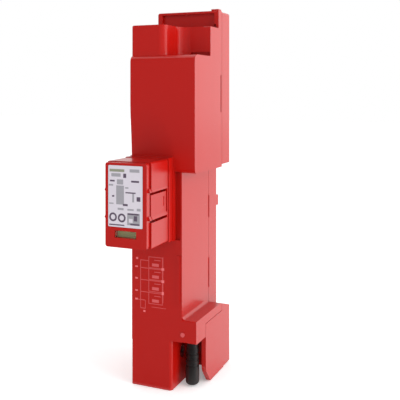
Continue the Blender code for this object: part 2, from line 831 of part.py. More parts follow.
def build_slider():
    """The T-shaped slider in the back, with the claw that closes behind the lowest busbar."""
    middle = slider_middle()
    back = BACK - GAP
    neck_front = BACK - SLIDER_SKIN
    low = busbar_low()
    slider = box(
        "latch_slider",
        around(middle, SLIDER_WIDTH),
        (neck_front - SLIDER_THICK, neck_front),
        (SLIDER_LOW, low - 3 * WALL),
        RED,
    )
    slider.data.materials[0] = DARK
    neck = box(
        "slider_neck",
        around(middle, SLIDER_NECK),
        (neck_front - OVER, back),
        (SLIDER_LOW, low - WALL / 2),
    )
    claw_foot = BACK + BUSBAR_DEPTH + HOOK_PLAY
    claw = plate(
        "claw",
        [
            (neck_front - OVER, low - CLAW_SHEET, 0),
            (BACK + CLAW_REACH, low - CLAW_SHEET, 2 * EDGE),
            (BACK + CLAW_REACH, low + WALL, EDGE),
            (claw_foot, low + 2 * WALL, EDGE),
            (claw_foot, low - BUSBAR_SLACK, EDGE),
            (neck_front - OVER, low - BUSBAR_SLACK, 0),
        ],
        "X",
        middle - SLIDER_NECK / 2,
        middle + SLIDER_NECK / 2,
    )
    join(slider, neck, claw)
    pry_slot = box(
        "pry_slot",
        around(middle, PRY_SLOT),
        (back - 0.75 * WALL, back + OVER),
        (SLIDER_LOW + 2 * WALL, SLIDER_LOW + 2 * WALL + 0.8 * PRY_SLOT),
    )
    cut(slider, pry_slot)
    soften(slider, GAP, 1)
    return slider


def build_latch_spring():
    """The coil under the slider, which pushes it up against its stop."""
    curve = bpy.data.curves.new("latch_spring", "CURVE")
    curve.dimensions = "3D"
    curve.bevel_depth = SPRING_WIRE
    curve.bevel_resolution = 2
    curve.use_fill_caps = True
    low = SLIDER_ROOM_LOW + GAP + SPRING_WIRE
    high = SLIDER_LOW - GAP - SPRING_WIRE
    spline = curve.splines.new("POLY")
    per_turn = 12
    count = SPRING_TURNS * per_turn + 1
    spline.points.add(count - 1)
    for i, point in enumerate(spline.points):
        angle = 2 * math.pi * i / per_turn
        rise = low + (high - low) * i / (count - 1)
        point.co = (
            slider_middle() + SPRING_RADIUS * math.cos(angle),
            BACK - SLIDER_SKIN - SLIDER_THICK / 2 + SPRING_RADIUS * math.sin(angle),
            rise,
            1,
        )
    drawn = bpy.data.objects.new("latch_spring", curve)
    tools.objects.link(drawn)
    return meshed("latch_spring", drawn, STEEL)


def blade_heights():
    return [BLADE_LOW + i * BLADE_PITCH for i in range(BLADE_COUNT)]


def build_socket():
    """The insulating plate behind the collar and the fork contacts that grip the blades."""
    insert = box(
        "socket_insert",
        (LEFT + WALL + GAP, COLUMN_RIGHT - WALL - GAP),
        (INSERT_FRONT, INSERT_BACK),
        (MODULE_LOW - INSERT_LAP, MODULE_TOP + INSERT_LAP),
        DARK,
    )
    foot = box(
        "insert_foot",
        (MODULE_RIGHT - COLLAR_WALL / 2, COLUMN_RIGHT - WALL - GAP),
        (FRONT + WALL + GAP, INSERT_BACK - INSERT_SHEET / 2),
        (MODULE_LOW - INSERT_LAP, BLOCK_LOW),
    )
    join(insert, foot)
    for height in blade_heights():
        slot = box(
            "blade_slot",
            around(MODULE_MID, BLADE_SHEET + 2 * GAP),
            (INSERT_FRONT - OVER, INSERT_BACK + OVER),
            around(height, BLADE_WIDE + 2 * GAP),
        )
        cut(insert, slot)
    for number, height in enumerate(blade_heights(), 1):
        inner = BLADE_SHEET / 2 + GAP
        outer = inner + CLIP_SHEET
        front = INSERT_BACK + GAP
        bend = front + 4 * EDGE
        fork = [
            (MODULE_MID - outer - CLIP_FLARE, front, 0),
            (MODULE_MID - outer, bend, OVER),
            (MODULE_MID - outer, CLIP_BACK, OVER),
            (MODULE_MID + outer, CLIP_BACK, OVER),
            (MODULE_MID + outer, bend, OVER),
            (MODULE_MID + outer + CLIP_FLARE, front, 0),
            (MODULE_MID + inner + CLIP_FLARE, front, 0),
            (MODULE_MID + inner, bend, OVER),
            (MODULE_MID + inner, CLIP_BACK - CLIP_SHEET, GAP),
            (MODULE_MID - inner, CLIP_BACK - CLIP_SHEET, GAP),
            (MODULE_MID - inner, bend, OVER),
            (MODULE_MID - inner - CLIP_FLARE, front, 0),
        ]
        plate(f"contact_clip_{number}", fork, "Z", *around(height, BLADE_WIDE), COPPER)


def phase_bar(number, blade_height, riser, busbar_top):
    """One strip from a fork contact up or down to its level and out over the busbar as a hook."""
    hook_low = busbar_top + BUSBAR_SLACK
    hook_high = hook_low + HOOK_SHEET
    low, high = sorted((blade_height, hook_low + HOOK_SHEET / 2))
    strip_back = STRIP_FRONT + STRIP
    hook = around(hook_middle(), HOOK_WIDTH)
    bar = box(
        f"phase_bar_{number}",
        riser,
        (STRIP_FRONT, strip_back),
        (low - HOOK_SHEET / 2, high + HOOK_SHEET / 2),
        COPPER,
    )
    pad = box(
        "pad",
        (min(riser[0], MODULE_MID - RISER_WIDTH / 2), max(riser[1], MODULE_MID + RISER_WIDTH / 2)),
        (STRIP_FRONT, strip_back),
        around(blade_height, 0.8 * BLADE_WIDE),
    )
    arm = box("arm", riser, (STRIP_FRONT, SEAM), (hook_low, hook_high))
    claw_back = BACK + BUSBAR_DEPTH + HOOK_PLAY + HOOK_SHEET
    claw = plate(
        "hook",
        [
            (SEAM - 2 * HOOK_SHEET, hook_low, 0),
            (SEAM - 2 * HOOK_SHEET, hook_high, 0),
            (claw_back, hook_high, 1.2 * HOOK_SHEET),
            (claw_back, busbar_top - HOOK_LIP, EDGE),
            (claw_back - HOOK_SHEET, busbar_top - HOOK_LIP + OVER, EDGE),
            (claw_back - HOOK_SHEET, hook_low, EDGE),
        ],
        "X",
        *hook,
    )
    join(bar, pad, arm, claw)
    return bar


def build_current_path():
    tops = busbar_tops()
    heights = blade_heights()
    left, right = around(hook_middle(), HOOK_WIDTH)
    phase_bar(1, heights[1], around(MODULE_MID, RISER_WIDTH), tops[0])
    phase_bar(2, heights[2], (right - SIDE_RISER, right), tops[1])
    phase_bar(3, heights[3], (left, left + SIDE_RISER), tops[2])
    strip_back = STRIP_FRONT + STRIP
    terminal_top = TERMINAL_LOW + TERMINAL_TALL - TERMINAL_SHEET - GAP
    earth = box(
        "earth_bar",
        around(MODULE_MID, EARTH_WIDTH),
        (STRIP_FRONT, strip_back),
        (TERMINAL_LOW + TERMINAL_SHEET + GAP, heights[0] + EARTH_WIDTH / 2),
        COPPER,
    )
    tongue = box(
        "tongue",
        around(MODULE_MID, EARTH_WIDTH),
        (wire_place()[1] - 0.75 * EARTH_WIDTH, strip_back),
        (terminal_top - STRIP, terminal_top),
    )
    join(earth, tongue)
    soften(earth, STRIP / 6, 1)


def build_terminal():
    x_high = FOOT_RIGHT - WALL - GAP
    x = (x_high - TERMINAL_WIDTH, x_high)
    y = (cage_back() - TERMINAL_DEPTH, cage_back())
    z = (TERMINAL_LOW, TERMINAL_LOW + TERMINAL_TALL)
    cage = box("earth_terminal", x, y, z, STEEL)
    cut(
        cage,
        box(
            "cage_room",
            (x[0] + TERMINAL_SHEET, x[1] - TERMINAL_SHEET),
            (y[0] + TERMINAL_SHEET, y[1] - TERMINAL_SHEET),
            (z[0] - OVER, z[1] + OVER),
        ),
    )
    return cage


def build_terminal_screw():
    x_high = FOOT_RIGHT - WALL - GAP
    height = TERMINAL_LOW + TERMINAL_TALL / 2
    depth = wire_place()[1]
    place = (x_high + GAP, depth, height)
    screw = rod("terminal_screw", place, SCREW_HEAD, SCREW_HEAD_TALL, (1, 0, 0), STEEL)
    cage_hole = rod(
        "cage_screw_hole",
        (x_high - 2 * TERMINAL_SHEET, depth, height),
        SCREW_RADIUS + GAP,
        3 * TERMINAL_SHEET,
        (1, 0, 0),
    )
    shank = rod(
        "screw_shank",
        (x_high - 3 * TERMINAL_SHEET, depth, height),
        SCREW_RADIUS,
        3 * TERMINAL_SHEET + 2 * GAP,
        (1, 0, 0),
    )
    join(screw, shank)
    long = 1.4 * SCREW_HEAD
    for size in ((SCREW_SLOT, long), (long, SCREW_SLOT)):
        slot = box(
            "drive_slot",
            (place[0] + SCREW_HEAD_TALL / 2, place[0] + SCREW_HEAD_TALL + OVER),
            around(place[1], size[0]),
            around(place[2], size[1]),
        )
        cut(screw, slot)
    return cage_hole


def build_plug():
    """The black push-in connector under the shoulder and the round header that it hangs from."""
    x, y = plug_place()
    header = rod("plug_socket", (x, y, CHAMBER_HEIGHT), SOCKET_RADIUS, SOCKET_TALL, (0, 0, 1), DARK)
    bore = rod("header_bore", (x, y, CHAMBER_HEIGHT - OVER), PLUG_PIN + GAP, SOCKET_TALL, (0, 0, 1))
    cut(header, bore)
    top = CHAMBER_HEIGHT - GAP
    foot = EDGE
    tall = top - foot
    pin_top = top + 0.7 * SOCKET_TALL
    wider = PLUG_RADIUS - PLUG_NECK
    profile = [
        (0, pin_top),
        (PLUG_PIN, pin_top),
        (PLUG_PIN, top),
        (PLUG_NECK - EDGE / 2, top),
        (PLUG_NECK, top - EDGE / 2),
        (PLUG_NECK, top - 0.22 * tall),
        (PLUG_NECK + 0.4 * wider, top - 0.26 * tall),
    ]
    for ring in range(3):
        high = 0.32 + 0.12 * ring
        radius = PLUG_NECK + (0.4 + 0.2 * ring) * wider
        profile += [
            (radius, top - high * tall),
            (radius - EDGE / 2, top - (high + 0.01) * tall),
            (radius - EDGE / 2, top - (high + 0.04) * tall),
            (radius + 0.1 * wider, top - (high + 0.05) * tall),
        ]
    profile.append((PLUG_RADIUS, top - 0.7 * tall))
    for step in range(6):
        angle = math.radians(90 * step / 5)
        profile.append(
            (
                PLUG_RADIUS - PLUG_NOSE + PLUG_NOSE * math.cos(angle),
                foot + PLUG_NOSE - PLUG_NOSE * math.sin(angle),
            )
        )
    profile.append((0, foot))
    return turned("terminal_plug", profile, (x, y, 0), DARK, 32)


def build_signal_board():
    outer = COLUMN_RIGHT - WALL - GAP
    low = SHOULDER_HEIGHT
    high = MODULE_LOW - INSERT_LAP - 2 * GAP - WALL
    board = box(
        "signal_board",
        (outer - BOARD_SHEET, outer),
        (FRONT + BOARD_MARGIN, SEAM - BOARD_MARGIN),
        (low, high),
        BOARD,
    )
    relay = box(
        "relay",
        (outer - BOARD_SHEET - RELAY_WIDTH, outer - BOARD_SHEET / 2),
        (SEAM - 1.5 * BOARD_MARGIN - RELAY_DEPTH, SEAM - 1.5 * BOARD_MARGIN),
        (low + 0.2 * (high - low), low + 0.6 * (high - low)),
    )
    join(board, relay)
    return board


def build_spark_gap():
    """The ceramic tube in the upper block, held between two metal caps."""
    x, y = tube_place()
    rod("spark_gap_tube", (x, y, TUBE_LOW), TUBE_RADIUS, TUBE_TALL, (0, 0, 1), CERAMIC)
    cap = TUBE_RADIUS - CAP_INSET
    low = TUBE_LOW - GAP - CAP_TALL
    rod("gap_cap_lower", (x, y, low), cap, CAP_TALL, (0, 0, 1), STEEL)
    high = TUBE_LOW + TUBE_TALL + GAP
    rod("gap_cap_upper", (x, y, high), cap, CAP_TALL, (0, 0, 1), STEEL)


def stem_x():
    return (LEFT + COLLAR_WALL + GAP, MODULE_RIGHT + GAP - COLLAR_WALL - GAP)


def stem_z():
    return (MODULE_LOW + COLLAR_WALL, MODULE_TOP - COLLAR_WALL)


def key_recess(side):
    """The pocket in one flank of the module that a release key slides in."""
    outer = MODULE_RIGHT if side > 0 else MODULE_LEFT
    deep = KEY_WALL + KEY_TRAVEL + GAP
    x = sorted((outer + side * OVER, outer - side * deep))
    return box(
        "key_recess",
        x,
        (CASE_FRONT - OVER, KEY_BACK),
        (KEY_LOW - KEY_SLIT, KEY_LOW + KEY_TALL + KEY_SLIT),
    )


def flank_ridge(name, side, low, y):
    """A low ridge along a flank, with a sloping top and a square underside."""
    outer = MODULE_RIGHT if side > 0 else MODULE_LEFT
    crest = outer + side * RIDGE_PROUD
    root = outer - side * (COVER_INSET + EDGE)
    corners = [
        (root, low, 0),
        (crest, low, 0),
        (crest, low + RIDGE_TALL / 3, 0),
        (outer - side * KEY_SINK, low + RIDGE_TALL, 0),
        (root, low + RIDGE_TALL, 0),
    ]
    return plate(name, corners, "Y", *y)


def build_module_case():
    case_back = COLLAR_FRONT - GAP
    case = plate(
        "module_case",
        [
            (MODULE_LEFT, MODULE_LOW, CASE_ROUND),
            (MODULE_RIGHT, MODULE_LOW, CASE_ROUND),
            (MODULE_RIGHT, MODULE_TOP, CASE_ROUND),
            (MODULE_LEFT, MODULE_TOP, CASE_ROUND),
        ],
        "Y",
        CASE_FRONT,
        case_back,
        RED,
    )
    stem = box("stem", stem_x(), (case_back - CASE_WALL, STEM_BACK), stem_z())
    join(case, stem)
    deep = KEY_WALL + KEY_TRAVEL + GAP + CASE_WALL
    low, high = stem_z()
    cut(
        case,
        box(
            "case_room",
            (MODULE_LEFT + CASE_WALL, MODULE_RIGHT - CASE_WALL),
            (CASE_FRONT - OVER, case_back - CASE_WALL),
            (MODULE_LOW + CASE_WALL, MODULE_TOP - CASE_WALL),
        ),
        box(
            "stem_room",
            (stem_x()[0] + CASE_WALL, stem_x()[1] - CASE_WALL),
            (case_back - 2 * CASE_WALL, STEM_BACK - CASE_WALL),
            (low + CASE_WALL, high - CASE_WALL),
        ),
    )
    for side in (1, -1):
        outer = MODULE_RIGHT if side > 0 else MODULE_LEFT
        x = sorted((outer - side * CASE_WALL / 2, outer - side * deep))
        pocket = box(
            "key_pocket",
            x,
            (CASE_FRONT, case_back),
            (KEY_LOW - KEY_SLIT - CASE_WALL, KEY_LOW + KEY_TALL + KEY_SLIT + CASE_WALL),
        )
        ridge = flank_ridge("case_ridge", side, KEY_LOW + KEY_TALL + KEY_SLIT, (CASE_FRONT + GAP, KEY_BACK))
        join(case, pocket, ridge)
    cut(case, key_recess(1), key_recess(-1))
    for height in blade_heights():
        slot = box(
            "case_slot",
            around(MODULE_MID, BLADE_SHEET + 2 * GAP),
            (STEM_BACK - 2 * CASE_WALL, STEM_BACK + OVER),
            around(height, BLADE_WIDE + 2 * GAP),
        )
        cut(case, slot)
    return case


def build_module_cover():
    left = MODULE_LEFT + COVER_INSET
    right = MODULE_RIGHT - COVER_INSET
    low = MODULE_LOW + COVER_INSET / 2
    high = MODULE_TOP - COVER_INSET / 2
    cover = plate(
        "module_cover",
        [(u, v, COVER_ROUND) for u, v in ((left, low), (right, low), (right, high), (left, high))],
        "Y",
        MODULE_FRONT,
        MODULE_FRONT + COVER_DEPTH,
        RED,
    )
    soften(cover, COVER_ROUND, 3, 60)
    stub = (MODULE_FRONT + COVER_ROUND, MODULE_FRONT + COVER_DEPTH)
    for side in (1, -1):
        for height in (KEY_LOW, KEY_LOW + KEY_TALL + KEY_SLIT):
            join(cover, flank_ridge("cover_ridge", side, height, stub))
    x = around(label_middle(), LABEL_WIDTH)
    cut(
        cover,
        box(
            "label_recess",
            x,
            (MODULE_FRONT - OVER, MODULE_FRONT + LABEL_SHEET),
            (LABEL_LOW, LABEL_LOW + LABEL_TALL),
        ),
        box(
            "window_hole",
            around(label_middle(), WINDOW_WIDTH),
            (MODULE_FRONT - OVER, CASE_FRONT),
            (WINDOW_LOW, WINDOW_LOW + WINDOW_TALL),
        ),
    )
    return cover


def label_middle():
    return MODULE_MID - GAP


def build_module_label():
    thin = GAP / 3
    left, right = around(label_middle(), LABEL_WIDTH - 2 * thin)
    low = LABEL_LOW + thin
    high = LABEL_LOW + LABEL_TALL - thin
    return plate(
        "module_label",
        [(u, v, EDGE) for u, v in ((left, low), (right, low), (right, high), (left, high))],
        "Y",
        MODULE_FRONT + LABEL_SHEET / 10,
        MODULE_FRONT + 0.8 * LABEL_SHEET,
        WHITE,
    )


def build_status_window():
    slack = GAP / 2
    return box(
        "status_window",
        around(label_middle(), WINDOW_WIDTH - 2 * slack),
        (MODULE_FRONT + GAP, MODULE_FRONT + COVER_DEPTH - slack),
        (WINDOW_LOW + slack, WINDOW_LOW + WINDOW_TALL - slack),
        GREEN,
    )


def moving(name, place, things):
    """Hangs pieces on an empty that stands on their joint's axis."""
    pivot = bpy.data.objects.new(name, None)
    parts.objects.link(pivot)
    pivot.location = place
    for thing in things:
        thing.parent = pivot
        thing.matrix_parent_inverse = Matrix.Translation(place).inverted()
    return pivot


def build_status_flag():
    front = CASE_FRONT + GAP
    low = WINDOW_LOW - GAP
    return box(
        "status_flag",
        around(label_middle(), WINDOW_WIDTH + 2 * FLAG_BORDER),
        (front, front + FLAG_SHEET),
        (low, low + 2 * FLAG_TRAVEL + GAP),
        GREEN,
    )


def build_release_key(name, side):
    """A flank plate with a raised thumb ridge, pressed inwards to free the module."""
    outer = MODULE_RIGHT if side > 0 else MODULE_LEFT
    y = (CASE_FRONT + GAP, KEY_BACK - GAP)
    key = box(
        name,
        sorted((outer - side * KEY_SINK, outer - side * KEY_WALL)),
        y,
        (KEY_LOW, KEY_LOW + KEY_TALL),
        RED,
    )
    mark = box(
        "key_mark",
        sorted((outer + side * OVER, outer - side * 2 * KEY_SINK)),
        (y[1] - 2 * KEY_WALL, y[1] - 1.3 * KEY_WALL),
        (KEY_LOW + 0.4 * KEY_TALL, KEY_LOW + 0.8 * KEY_TALL),
    )
    join(key, flank_ridge("key_ridge", side, KEY_LOW, y))
    cut(key, mark)
    return key


def build_blades():
    blades = []
    for number, height in enumerate(blade_heights(), 1):
        front = COLLAR_FRONT - CASE_WALL
        tip = STEM_BACK + BLADE_REACH
        blade = plate(
            f"contact_blade_{number}",
            [
                (front, height - BLADE_WIDE / 2, 0),
                (tip, height - BLADE_WIDE / 2, BLADE_SHEET),
                (tip, height + BLADE_WIDE / 2, BLADE_SHEET),
                (front, height + BLADE_WIDE / 2, 0),
            ],
            "X",
            *around(MODULE_MID, BLADE_SHEET),
            COPPER,
        )
        blades.append(blade)
    return blades


def build_varistors():
    """Three coated discs, square with round corners, stacked one above the other."""
    discs = []
    inner = CASE_WALL + KEY_WALL + KEY_TRAVEL + GAP + CASE_WALL + GAP
    x = (MODULE_LEFT + inner, MODULE_RIGHT - inner)
    y = (CASE_FRONT + 2 * CASE_WALL, COLLAR_FRONT - CASE_WALL - GAP)
    bottom = MODULE_LOW + CASE_WALL + GAP
    apart = 4 * GAP
    tall = (MODULE_TALL - 2 * CASE_WALL - 2 * GAP - 2 * apart) / 3
    step = tall + apart
    for number in range(3):
        low = bottom + number * step
        disc = plate(
            f"varistor_{number + 1}",
            [
                (x[0], y[0], 1.5 * WALL),
                (x[1], y[0], 1.5 * WALL),
                (x[1], y[1], 1.5 * WALL),
                (x[0], y[1], 1.5 * WALL),
            ],
            "Z",
            low,
            low + tall,
            DISC,
        )
        discs.append(disc)
    return discs


def build_module():
    fixed = [build_module_case(), build_module_cover(), build_module_label(), build_status_window()]
    fixed += build_blades()
    fixed += build_varistors()
    flag = build_status_flag()
    right = build_release_key("release_key_right", 1)
    left = build_release_key("release_key_left", -1)
    slide = (MODULE_MID, MODULE_FRONT, (MODULE_LOW + MODULE_TOP) / 2)
    module = moving("module_axis", slide, fixed)
    key_place = (MODULE_RIGHT, (CASE_FRONT + COLLAR_FRONT) / 2, KEY_LOW + KEY_TALL / 2)
    axes = (
        ("flag_axis", (label_middle(), CASE_FRONT + GAP, WINDOW_LOW), flag),
        ("right_key_axis", key_place, right),
        ("left_key_axis", (MODULE_LEFT, *key_place[1:]), left),
    )
    for name, place, thing in axes:
        pivot = moving(name, place, [thing])
        pivot.parent = module
        pivot.matrix_parent_inverse = Matrix.Translation(slide).inverted()


clear_scene()
build_front_housing()
build_rear_housing()
moving("latch_axis", (slider_middle(), BACK, SLIDER_LOW), [build_slider()])
build_latch_spring()
build_socket()
build_current_path()
cage = build_terminal()
cut(cage, build_terminal_screw())
build_plug()
build_signal_board()
build_spark_gap()
build_module()
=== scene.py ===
import json
import math

import bmesh
import bpy
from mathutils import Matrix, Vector


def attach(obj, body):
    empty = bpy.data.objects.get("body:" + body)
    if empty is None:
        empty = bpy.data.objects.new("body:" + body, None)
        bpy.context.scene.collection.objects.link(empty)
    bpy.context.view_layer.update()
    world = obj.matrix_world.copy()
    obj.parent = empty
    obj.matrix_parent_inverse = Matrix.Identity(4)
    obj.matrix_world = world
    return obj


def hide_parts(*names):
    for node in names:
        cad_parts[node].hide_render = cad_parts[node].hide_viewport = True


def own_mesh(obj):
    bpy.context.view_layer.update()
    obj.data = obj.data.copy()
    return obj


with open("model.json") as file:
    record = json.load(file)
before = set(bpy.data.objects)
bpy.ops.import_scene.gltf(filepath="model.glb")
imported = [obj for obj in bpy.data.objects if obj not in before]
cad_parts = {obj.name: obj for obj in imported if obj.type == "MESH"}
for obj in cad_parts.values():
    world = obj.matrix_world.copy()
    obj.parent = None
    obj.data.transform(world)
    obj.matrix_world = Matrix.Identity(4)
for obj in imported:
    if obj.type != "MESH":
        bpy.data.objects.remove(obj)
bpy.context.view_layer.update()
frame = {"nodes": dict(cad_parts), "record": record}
print("frame loaded:", len(frame["nodes"]), "nodes")

# Lengths are in metres and angles in degrees, apart from the print, which is in millimetres
millimetres = 1000


class Socket:
    def __init__(self, tree, out=None):
        self.tree = tree
        self.out = out

    def node(self, kind, *values, out=0, inputs=None, **settings):
        made = self.tree.nodes.new(kind)
        for key, value in settings.items():
            setattr(made, key, value)
        for key, value in [*enumerate(values), *(inputs or {}).items()]:
            if isinstance(value, Socket):
                self.tree.links.new(value.out, made.inputs[key])
            else:
                made.inputs[key].default_value = value
        return Socket(self.tree, made.outputs[out])

    def maths(self, operation, *values):
        return self.node("ShaderNodeMath", *values, operation=operation)

    def __add__(self, other):
        return self.maths("ADD", self, other)

    def __radd__(self, other):
        return self.maths("ADD", other, self)

    def __sub__(self, other):
        return self.maths("SUBTRACT", self, other)

    def __rsub__(self, other):
        return self.maths("SUBTRACT", other, self)

    def __mul__(self, other):
        return self.maths("MULTIPLY", self, other)

    def __rmul__(self, other):
        return self.maths("MULTIPLY", other, self)

    def __lt__(self, other):
        return self.maths("LESS_THAN", self, other)

    def __gt__(self, other):
        return self.maths("GREATER_THAN", self, other)

    def __abs__(self):
        return self.maths("ABSOLUTE", self)

    def mix(self, first, second):
        # A Mix node takes its two colours at inputs 6 and 7 and gives the mixed one at output 2
        colours = {6: first, 7: second}
        return self.node("ShaderNodeMix", self, inputs=colours, out=2, data_type="RGBA")

    def feed(self, shader, name):
        self.tree.links.new(self.out, shader.inputs[name])


def newMaterial(name, colour, roughness, others=None):
    material = bpy.data.materials.new(name)
    material.use_nodes = True
    shader = material.node_tree.nodes["Principled BSDF"]
    constants = {"Base Color": colour, "Roughness": roughness, **(others or {})}
    for key, value in constants.items():
        shader.inputs[key].default_value = value
    return material, shader, Socket(material.node_tree)


def deselect():
    for item in list(bpy.context.selected_objects):
        item.select_set(False)


cameraSettings = {
    "place": (0.14849, -0.32625, 0.14981),
    "level": 90,
    "turn": 22.98,
    "focalPixels": 668.65,
    "horizon": 92.15,
    "picture": 400,
    "sensor": 36.0,
    "nearest": 0.01,
}


def makeCamera(s):
    data = bpy.data.cameras.new("camera")
    data.sensor_width = s["sensor"]
    data.lens = s["focalPixels"] / s["picture"] * s["sensor"]
    data.shift_y = (s["horizon"] - s["picture"] / 2) / s["picture"]
    data.clip_start = s["nearest"]
    camera = bpy.data.objects.new("camera", data)
    camera.location = s["place"]
    camera.rotation_euler = (math.radians(s["level"]), 0, math.radians(s["turn"]))
    bpy.context.scene.collection.objects.link(camera)
    bpy.context.scene.camera = camera
    print("camera set")


worldSettings = {"colour": (1, 1, 1, 1), "strength": 1.0}


def makeWorld(s):
    world = bpy.data.worlds.new("world")
    world.use_nodes = True
    background = world.node_tree.nodes["Background"]
    background.inputs["Color"].default_value = s["colour"]
    background.inputs["Strength"].default_value = s["strength"]
    bpy.context.scene.world = world
    bpy.context.scene.view_settings.view_transform = "Standard"
    print("world made")


def makePlane(s):
    turn = [math.radians(angle) for angle in s["turn"]]
    deselect()
    bpy.ops.mesh.primitive_plane_add(size=s["size"], location=s["place"], rotation=turn)
    plane = bpy.context.object
    plane.name = s["name"]
    return plane


# The floor glows a little for the camera, and reflections see it paler and without the glow
floorSettings = {
    "name": "floor",
    "size": 6.0,
    "place": (0, 0, -0.0002),
    "turn": (0, 0, 0),
    "roughness": 0.9,
    "shine": 0.0,
    "glowStrength": 1.0,
    "colour": (0.9, 0.9, 0.9, 1),
    "glow": (0.25, 0.25, 0.25, 1),
    "reflectedColour": (0.95, 0.95, 0.95, 1),
    "reflectedGlow": (0, 0, 0, 1),
}


def makeFloor(s):
    floor = makePlane(s)
    others = {"Emission Strength": s["glowStrength"], "Specular IOR Level": s["shine"]}
    material, shader, start = newMaterial("floorPaint", s["colour"], s["roughness"], others)
    reflected = start.node("ShaderNodeLightPath", out="Is Glossy Ray")
    reflected.mix(s["colour"], s["reflectedColour"]).feed(shader, "Base Color")
    reflected.mix(s["glow"], s["reflectedGlow"]).feed(shader, "Emission Color")
    floor.data.materials.append(material)
    print("floor made")


# Cards show only in reflections: dark ones deepen the red fronts, and a bright one pales the side
cardPaint = {
    "colour": (0, 0, 0, 1),
    "roughness": 1.0,
    "shine": 0.0,
    "glowColour": (1, 1, 1, 1),
}
cardSettings = [
    {
        "name": "darkCard",
        "size": 2.4,
        "place": (-0.30, -0.85, 0.40),
        "turn": (90, 0, -20),
        "glow": 0.0,
    },
    {
        "name": "darkMat",
        "size": 1.0,
        "place": (-0.15, -0.524, 0.0006),
        "turn": (0, 0, 0),
        "glow": 0.0,
    },
    {
        "name": "darkWing",
        "size": 1.2,
        "place": (0.96, -0.73, 0.40),
        "turn": (90, 0, 76),
        "glow": 0.0,
    },
    {
        "name": "brightCard",
        "size": 3.0,
        "place": (1.1, 1.9, 0.40),
        "turn": (90, 0, -30),
        "glow": 1.35,
    },
]


def makeCard(s, paint):
    card = makePlane(s)
    others = {
        "Specular IOR Level": paint["shine"],
        "Emission Color": paint["glowColour"],
        "Emission Strength": s["glow"],
    }
    material = newMaterial(s["name"] + "Paint", paint["colour"], paint["roughness"], others)[0]
    card.data.materials.append(material)
    card.visible_camera = False
    card.visible_shadow = False
    card.visible_diffuse = False
    print("card made:", s["name"])


sideLightSettings = {
    "name": "sideLight",
    "place": (0.75, -0.12, 0.30),
    "aim": (0, 0, 0.10),
    "size": 0.6,
    "power": 4.0,
}


def makeLight(s):
    data = bpy.data.lights.new(s["name"], "AREA")
    data.energy = s["power"]
    data.size = s["size"]
    light = bpy.data.objects.new(s["name"], data)
    light.location = s["place"]
    direction = Vector(s["aim"]) - light.location
    light.rotation_euler = direction.to_track_quat("-Z", "Y").to_euler()
    light.visible_glossy = False
    bpy.context.scene.collection.objects.link(light)
    print("light made:", s["name"])


makeCamera(cameraSettings)
makeWorld(worldSettings)
makeFloor(floorSettings)
for card in cardSettings:
    makeCard(card, cardPaint)
makeLight(sideLightSettings)


def roughGrain(shader, start, s):
    coordinates = start.node("ShaderNodeTexCoord", out="Object")
    wanted = {"Vector": coordinates, "Scale": s["grain"], "Detail": s["detail"]}
    grain = start.node("ShaderNodeTexNoise", inputs=wanted)
    rough = grain * s["spread"] + (s["roughness"] - s["spread"] / 2)
    rough.feed(shader, "Roughness")
    return grain


# Print is measured from the housing's left side and from the floor, and a box of it is
# (left, low, right, high)
printOrigin = (-18.0, 0.0, 0.0)


def printPlace(start, axes):
    coordinates = start.node("ShaderNodeTexCoord", out="Object")
    scale = (millimetres, millimetres, millimetres)
    scaled = start.node("ShaderNodeVectorMath", coordinates, scale, operation="MULTIPLY")
    place = start.node("ShaderNodeVectorMath", scaled, printOrigin, operation="SUBTRACT")
    return [start.node("ShaderNodeSeparateXYZ", place, out=axis) for axis in axes]


def boxMask(x, z, box):
    left, low, right, high = box
    across = abs(x - (left + right) / 2) < (right - left) / 2
    up = abs(z - (low + high) / 2) < (high - low) / 2
    return across * up


def discMask(x, z, centre, radius):
    right, up = x - centre[0], z - centre[1]
    return right * right + up * up < radius * radius


def raised(box, height):
    left, low, right, high = box
    return left, low + height, right, high + height


def strongest(masks):
    total = masks[0]
    for mask in masks[1:]:
        total = total.maths("MAXIMUM", total, mask)
    return total


# A share is how strongly the print, and on the small dome the painted highlight, covers the red.
# The boxes of a symbol are measured from each of its heights, and nothing behind frontLimit is
# printed or highlighted.
diagramAndHighlightSettings = {
    "frontLimit": -22.9,
    "lines": {
        "share": 0.38,
        "boxes": [
            (4.8, 43.3, 5.2, 64.2),
            (4.8, 63.9, 9.6, 64.3),
            (4.8, 60.0, 9.6, 60.4),
            (4.8, 53.9, 9.6, 54.3),
            (4.8, 47.8, 9.6, 48.2),
            (2.4, 43.6, 7.6, 44.0),
            (4.9, 39.6, 5.2, 43.6),
            (7.6, 39.6, 7.9, 43.8),
            (4.9, 39.4, 7.9, 39.8),
            (17.6, 43.4, 17.9, 66.6),
            (11.2, 40.6, 19.4, 40.9),
        ],
    },
    "marks": {
        "share": 0.9,
        "boxes": [
            (2.4, 64.3, 3.6, 65.3),
            (1.9, 60.2, 3.4, 60.9),
            (1.9, 54.2, 3.4, 55.0),
            (1.9, 48.0, 3.4, 48.7),
            (1.9, 43.5, 3.4, 44.4),
            (16.9, 59.8, 18.4, 61.0),
            (16.9, 53.6, 18.4, 54.9),
            (17.0, 47.5, 18.2, 49.0),
            (6.6, 37.7, 7.8, 38.6),
        ],
    },
    "symbols": {
        "heights": [62.0, 56.0, 50.0, 43.8],
        "frame": {
            "share": 0.34,
            "outer": (9.5, -1.6, 17.6, 4.3),
            "inner": (9.9, -1.2, 17.2, 3.9),
        },
        "fills": [
            {"share": 0.5, "box": (11.6, -0.6, 15.4, 0.9)},
            {"share": 0.4, "box": (12.8, 2.4, 16.4, 2.8)},
        ],
    },
    # The small dome gets a painted highlight: a lighter disc that stands in for the light falling
    # on it
    "domeHighlight": {"share": 0.45, "centre": (28.7, 29.0), "radius": 1.1},
}


